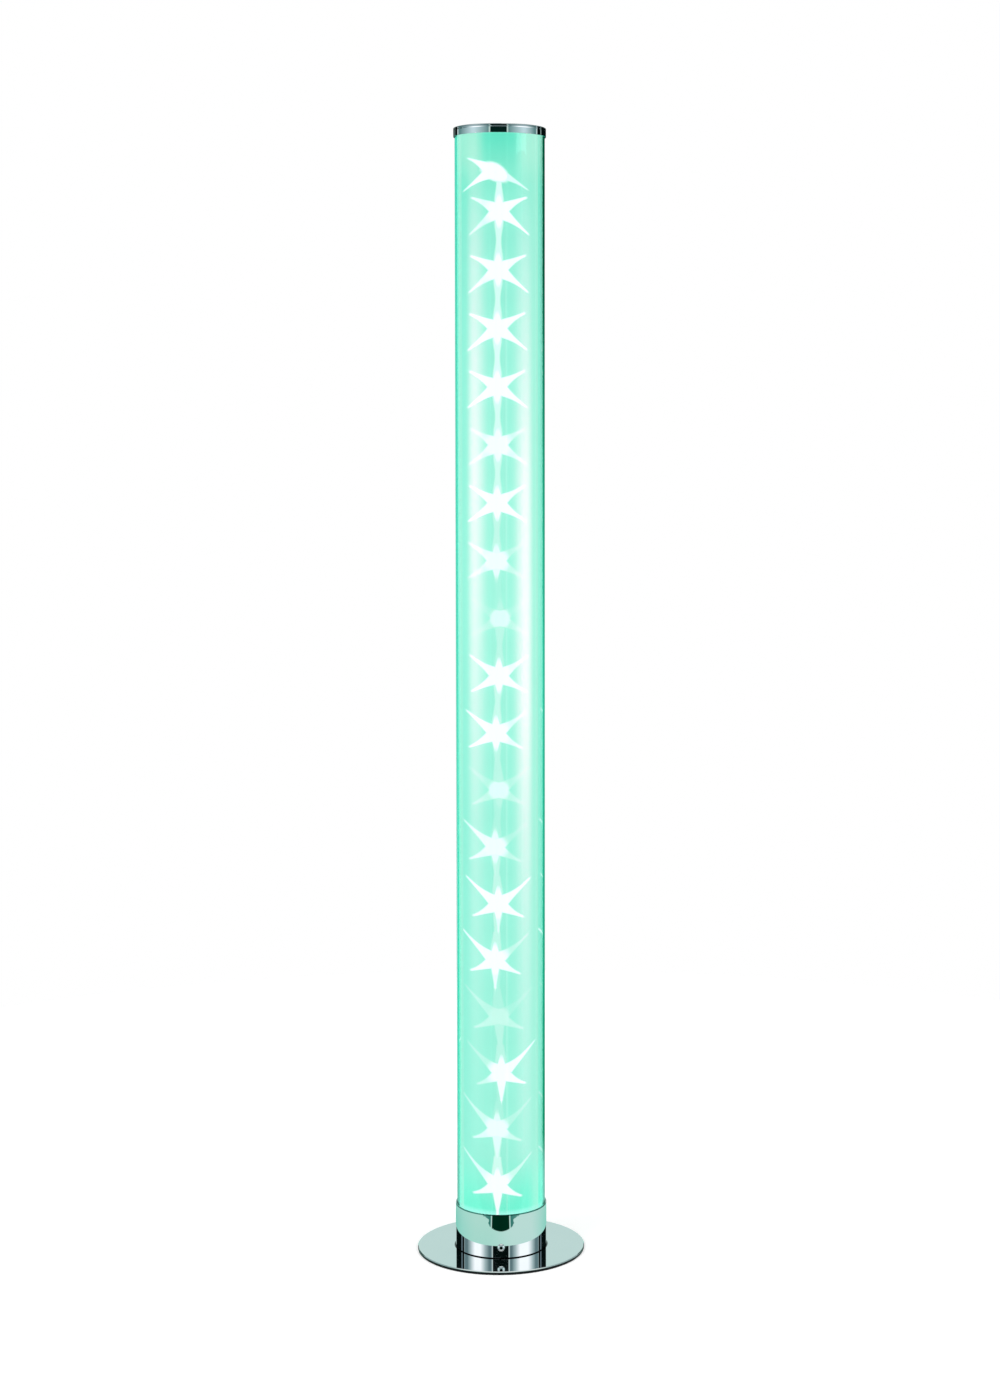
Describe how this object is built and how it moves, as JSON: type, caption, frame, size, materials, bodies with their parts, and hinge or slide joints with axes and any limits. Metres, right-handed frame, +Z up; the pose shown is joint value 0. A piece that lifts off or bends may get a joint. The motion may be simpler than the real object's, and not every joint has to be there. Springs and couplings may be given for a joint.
{
  "type": "led star column floor lamp",
  "caption": "Floor lamp: clear acrylic tube with a star-effect film and lights on a centre bar, chromed disc base, screwed collar and drawn cap.",
  "frame": {"origin": "centre of the underside, on the floor", "axes": "+Z up along the tube's axis, -Y to the front, where a collar screw shows; the cord gland faces +Y"},
  "size_m": [0.1724, 0.1724, 1.151],
  "materials": {
    "foam": "matt black foam",
    "black_paint": "satin black paint",
    "chrome": "bright chrome plate",
    "black_moulding": "moulded black plastic",
    "screw_steel": "zinc-plated steel",
    "chrome_screw": "chromed screw",
    "gland_rubber": "moulded black bush",
    "clear_acrylic": "clear polished acrylic",
    "star_film": "star-effect film, lit teal",
    "white_bar": "white extrusion",
    "strip_white": "white solder mask",
    "led_white": "white reflector housing",
    "led_lens": "clear resin, lit",
    "resistor": "black glaze",
    "wire_insulation": "soft insulation",
    "circuit_board": "green solder mask",
    "chip_black": "black resin",
    "capacitor_can": "sleeved can",
    "terminal_green": "moulded green plastic"
  },
  "bodies": {
    "root": {"floor_pad": "foam", "ballast_plate": "black_paint", "base_plate": "chrome", "collar": "chrome", "foot_socket": "black_moulding", "base_screws": "screw_steel", "collar_screws": "chrome_screw", "cord_gland": "gland_rubber", "cord_clamp": "black_moulding", "clamp_screws": "screw_steel", "tube": "clear_acrylic", "star_film": "star_film", "light_bar": "white_bar", "strip_front": "strip_white", "strip_right": "strip_white", "strip_left": "strip_white", "leds_front": "led_white", "leds_right": "led_white", "leds_left": "led_white", "lenses_front": "led_lens", "lenses_right": "led_lens", "lenses_left": "led_lens", "strip_resistors": "resistor", "strip_leads": "wire_insulation", "controller_board": "circuit_board", "board_screws": "screw_steel", "control_chip": "chip_black", "switching_transistors": "chip_black", "buffer_capacitor": "capacitor_can", "terminal_block": "terminal_green", "terminal_screws": "screw_steel", "cap_plug": "black_moulding", "cap_tape": "foam", "top_cap": "chrome"}
  },
  "joints": []
}
